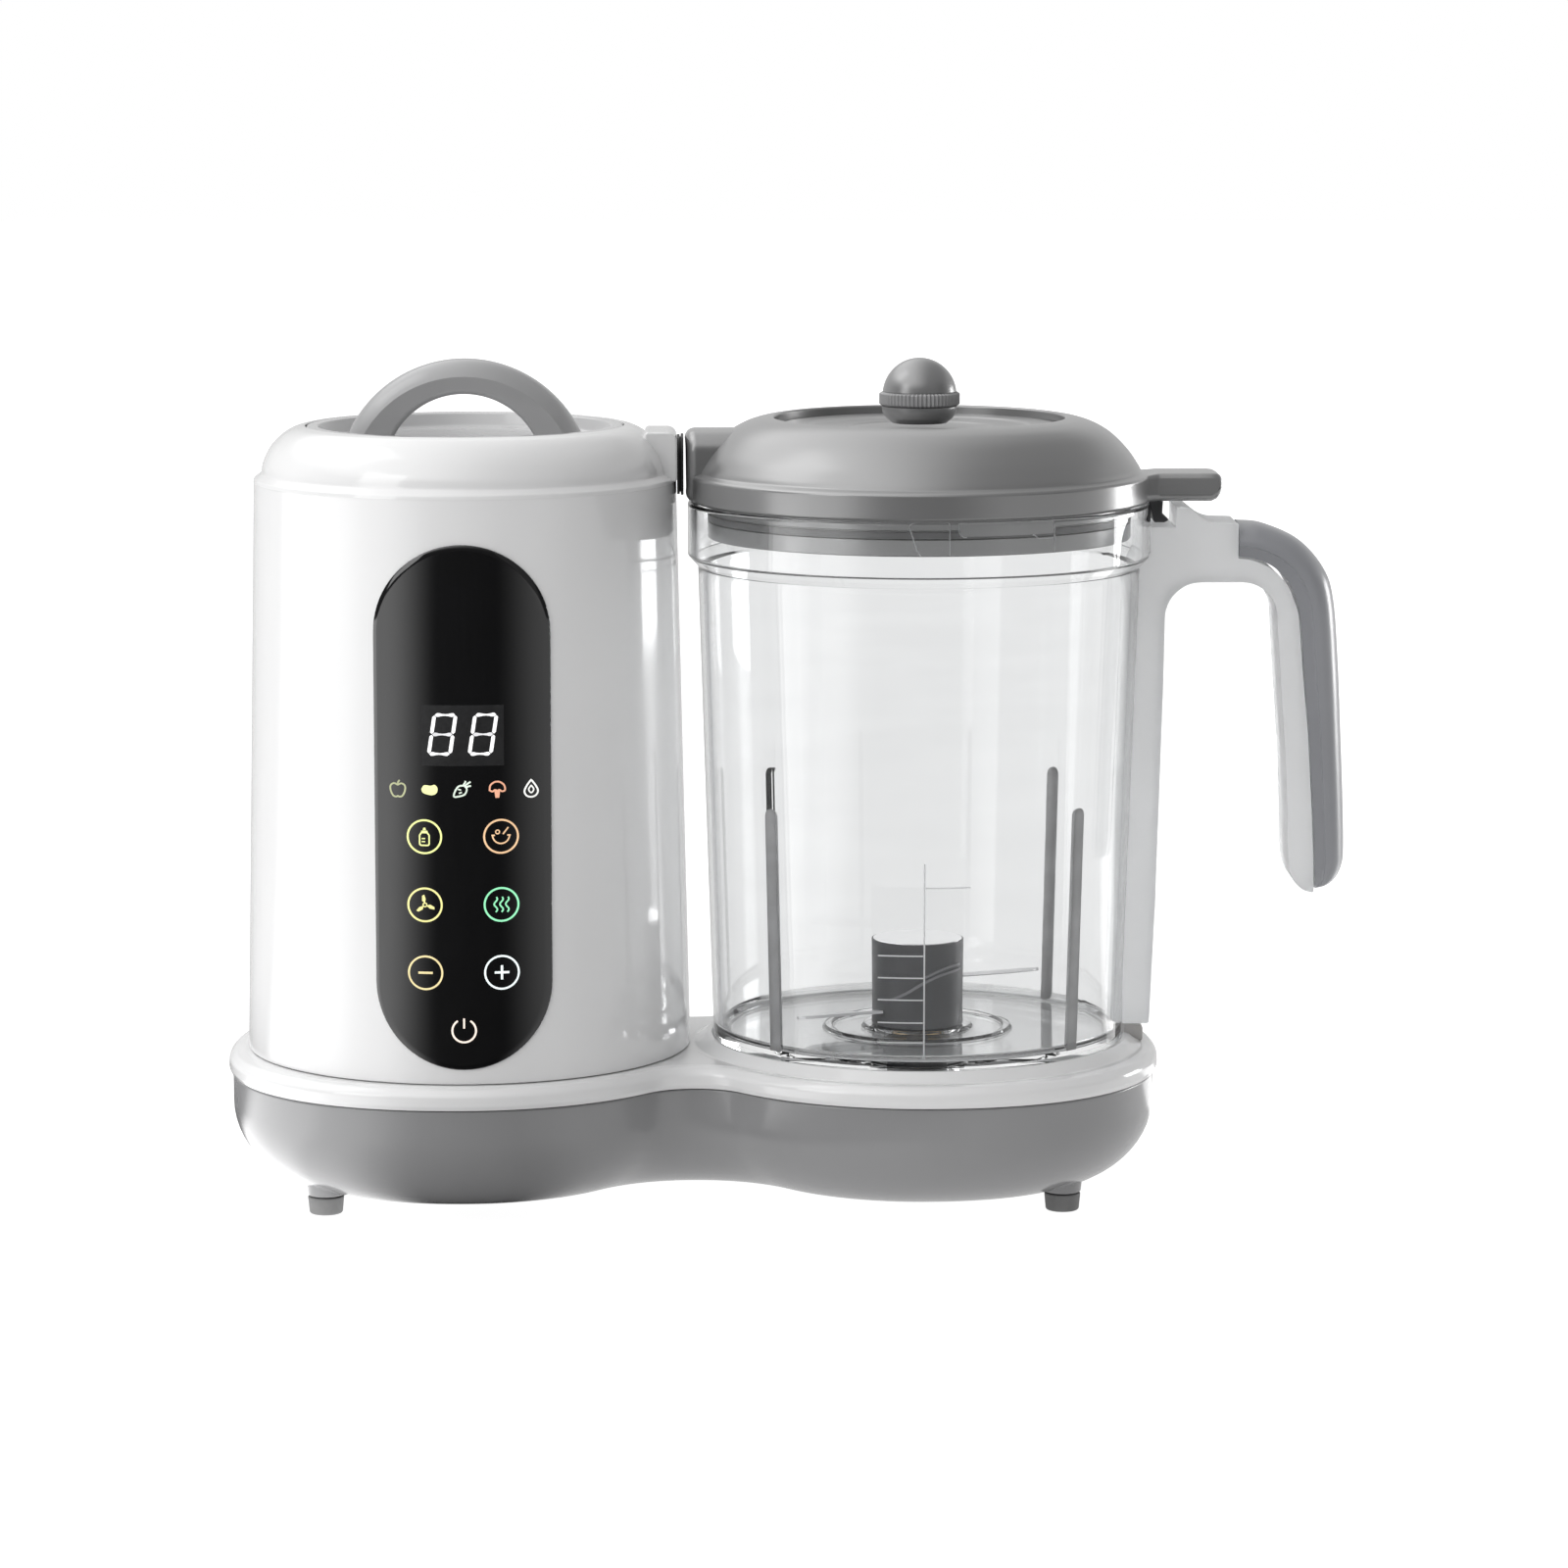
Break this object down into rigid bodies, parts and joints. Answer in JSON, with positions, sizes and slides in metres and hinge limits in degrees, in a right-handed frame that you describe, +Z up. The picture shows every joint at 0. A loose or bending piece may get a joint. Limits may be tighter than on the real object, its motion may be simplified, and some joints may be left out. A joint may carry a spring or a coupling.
{
  "type": "baby food maker",
  "caption": "Countertop baby food maker: round warming tower with a touch panel beside a clear blending jug with a steam lid, on one figure-8 base.",
  "frame": {"origin": "on the surface it stands on, under the middle of the object's box", "axes": "+X from the tower to the jug and its handle, +Y to the back, +Z up; the touch panel faces -Y"},
  "size_m": [0.3078, 0.1326, 0.23],
  "materials": {
    "white_plastic": "glossy moulded, white",
    "grey_plastic": "satin moulded, mid grey",
    "dark_plastic": "satin moulded, dark grey",
    "panel_glass": "polished black touch panel",
    "foot_rubber": "soft grey rubber",
    "black_rubber": "black rubber",
    "silicone": "translucent silicone",
    "clear_plastic": "clear polished copolyester",
    "frosted_plastic": "frosted translucent plastic",
    "insert_plastic": "satin blue-grey plastic",
    "beige_plastic": "satin beige-grey plastic",
    "steel": "brushed stainless steel",
    "aluminium": "drawn aluminium",
    "brass": "sintered bronze and copper windings",
    "board": "green circuit board"
  },
  "bodies": {
    "root": {"base_lower_shell": "grey_plastic", "base_top_plate": "white_plastic", "foot_front_left": "foot_rubber", "foot_front_right": "foot_rubber", "foot_back_left": "foot_rubber", "foot_back_right": "foot_rubber", "base_screw_1": "steel", "base_screw_2": "steel", "base_screw_3": "steel", "base_screw_4": "steel", "cord_gland": "black_rubber", "tower_shell": "white_plastic", "control_panel": "panel_glass", "control_board": "board", "display_module": "dark_plastic", "tower_shoulder": "white_plastic", "steam_seal": "black_rubber", "steam_pipe": "silicone", "warming_well": "aluminium", "heater_plate": "aluminium", "motor_can": "steel", "motor_endcap": "dark_plastic", "motor_bracket": "steel", "drive_belt": "black_rubber", "spindle_bearing": "brass", "power_board": "board", "interlock_boss": "beige_plastic", "interlock_switch": "dark_plastic", "interlock_spring": "steel"},
    "motor_rotor": {"motor_armature": "brass", "motor_shaft": "steel", "motor_pulley": "dark_plastic"},
    "drive": {"driven_pulley": "dark_plastic", "drive_spindle": "steel", "drive_coupler": "dark_plastic"},
    "plunger": {"interlock_plunger": "beige_plastic"},
    "warmer_cover": {"warmer_lid": "white_plastic", "warmer_gasket": "silicone", "warmer_handle": "grey_plastic"},
    "jug_body": {"jug": "clear_plastic", "jug_handle": "frosted_plastic", "handle_insert": "insert_plastic", "jug_bush": "brass"},
    "blades": {"blade_hub": "dark_plastic", "blade_shaft": "steel", "jug_coupler": "dark_plastic", "blade_lower": "steel", "blade_upper": "steel"},
    "lid_ring": {"lid_gasket": "silicone"},
    "lid": {"lid_shell": "grey_plastic", "lid_hook": "dark_plastic", "lid_skirt": "grey_plastic"},
    "cap": {"feed_cap": "grey_plastic"},
    "knob": {"knob_cap": "grey_plastic", "knob_stem": "grey_plastic", "knob_ring": "grey_plastic"}
  },
  "joints": [
    {"name": "motor_spin", "type": "hinge", "parent": "root", "child": "motor_rotor", "pos_m": [-0.08755, 0, 0], "axis": [0, 0, 1], "continuous": true},
    {"name": "drive_spin", "type": "hinge", "parent": "root", "child": "drive", "pos_m": [0.03635, 0, 0], "axis": [0, 0, 1], "continuous": true},
    {"name": "interlock_press", "type": "slide", "parent": "root", "child": "plunger", "axis": [0, 0, 1], "range_m": [-0.002, 0], "stiffness_N_per_m": 300, "deforming": ["interlock_spring"]},
    {"name": "warmer_lid_lift", "type": "slide", "parent": "root", "child": "warmer_cover", "axis": [0, 0, 1], "range_m": [0, 0.06]},
    {"name": "jug_lift", "type": "slide", "parent": "root", "child": "jug_body", "axis": [0, 0, 1], "range_m": [0, 0.15]},
    {"name": "blade_spin", "type": "hinge", "parent": "jug_body", "child": "blades", "pos_m": [0.03635, 0, 0], "axis": [0, 0, 1], "continuous": true},
    {"name": "lid_lift", "type": "slide", "parent": "jug_body", "child": "lid_ring", "axis": [0, 0, 1], "range_m": [0, 0.06]},
    {"name": "lid_turn", "type": "hinge", "parent": "lid_ring", "child": "lid", "pos_m": [0.03635, 0, 0.19], "axis": [0, 0, 1], "range_deg": [0, 30]},
    {"name": "feed_cap_lift", "type": "slide", "parent": "lid", "child": "cap", "axis": [0, 0, 1], "range_m": [0, 0.04]},
    {"name": "knob_turn", "type": "hinge", "parent": "cap", "child": "knob", "pos_m": [0.03635, 0, 0.22], "axis": [0, 0, 1], "range_deg": [0, 90]}
  ],
  "couplings": [
    {"joint": "drive_spin", "follows": "motor_spin", "ratio": 0.5},
    {"joint": "blade_spin", "follows": "motor_spin", "ratio": 0.5}
  ]
}
